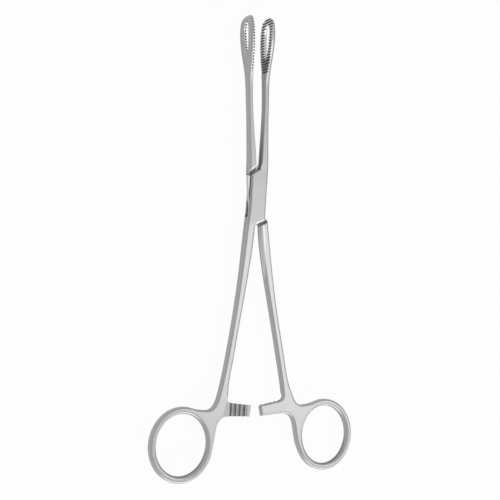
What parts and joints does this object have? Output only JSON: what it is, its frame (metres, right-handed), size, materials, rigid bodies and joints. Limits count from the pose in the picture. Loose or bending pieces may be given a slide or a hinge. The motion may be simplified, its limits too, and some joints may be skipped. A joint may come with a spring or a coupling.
{
  "type": "sponge holding forceps",
  "caption": "Long steel sponge holding forceps with oval serrated window jaws, a box lock joint, finger rings and a ratchet between the shanks.",
  "frame": {"origin": "on the lock pin's axis at the back face of the box, which is Z = 0", "axes": "+X across the instrument towards the ring of the tongue half, +Y along it towards the jaws, +Z along the lock pin out of the front of the box"},
  "size_m": [0.1201, 0.2415, 0.0128],
  "materials": {
    "box_half": "satin",
    "tongue_half": "satin",
    "lock_pin": "satin"
  },
  "bodies": {
    "box_half": {"box_half": "box_half", "lock_pin": "lock_pin"},
    "tongue_half": {"tongue_half": "tongue_half"}
  },
  "joints": [
    {"name": "box_lock", "type": "hinge", "parent": "box_half", "child": "tongue_half", "pos_m": [0, 0, 0.0025], "axis": [0, 0, 1], "range_deg": [-6.6, 45]}
  ]
}
